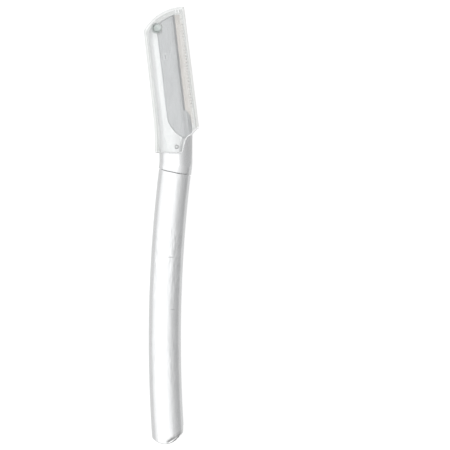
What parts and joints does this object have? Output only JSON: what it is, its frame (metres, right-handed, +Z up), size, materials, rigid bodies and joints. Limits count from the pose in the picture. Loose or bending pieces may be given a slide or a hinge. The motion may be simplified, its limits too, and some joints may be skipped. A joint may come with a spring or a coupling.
{
  "type": "eyebrow razor",
  "caption": "Slim eyebrow razor with a bent oval metal grip, a leaning head that clamps a long guarded blade under a sprung flap, and a clear slide-on cap.",
  "frame": {"origin": "centre of the razor's outline on the surface that it lies on", "axes": "+Z up through the front face; +Y from the grip end to the toe of the head; the cutting edge faces +X"},
  "size_m": [0.019, 0.1504, 0.008],
  "materials": {
    "stem": "satin plated",
    "plug": "silver coloured plastic",
    "head": "satin plated casting",
    "pin_steel": "drawn wire",
    "cover": "satin plated",
    "rivet": "dark satin",
    "flap": "fine satin, greyer than the cover",
    "spring_steel": "rolled spring strip",
    "blade_steel": "ground and lightly oiled",
    "guard": "thin folded strip",
    "clear_cap": "clear moulded, polished"
  },
  "bodies": {
    "razor": {"grip_tube": "stem", "end_plug": "plug", "head_body": "head", "tang_pin": "pin_steel", "spine_cover": "cover", "toe_rivet": "rivet", "neck_rivet": "rivet", "hinge_pin": "pin_steel", "clamp_spring": "spring_steel", "locating_pins": "pin_steel", "blade": "blade_steel", "edge_guard": "guard"},
    "flap": {"clamp_flap": "flap"},
    "cap": {"protective_cap": "clear_cap"}
  },
  "joints": [
    {"name": "cap_slide", "type": "slide", "parent": "razor", "child": "cap", "axis": [-0.1149, 0.9934, 0], "range_m": [0, 0.06]},
    {"name": "flap_hinge", "type": "hinge", "parent": "razor", "child": "flap", "pos_m": [-0.00378, 0.05038, 0.00445], "axis": [0.1149, -0.9934, 0], "range_deg": [0, 12], "stiffness_Nm_per_rad": 0.02, "springref_deg": -20.05, "deforming": ["clamp_spring"]}
  ]
}
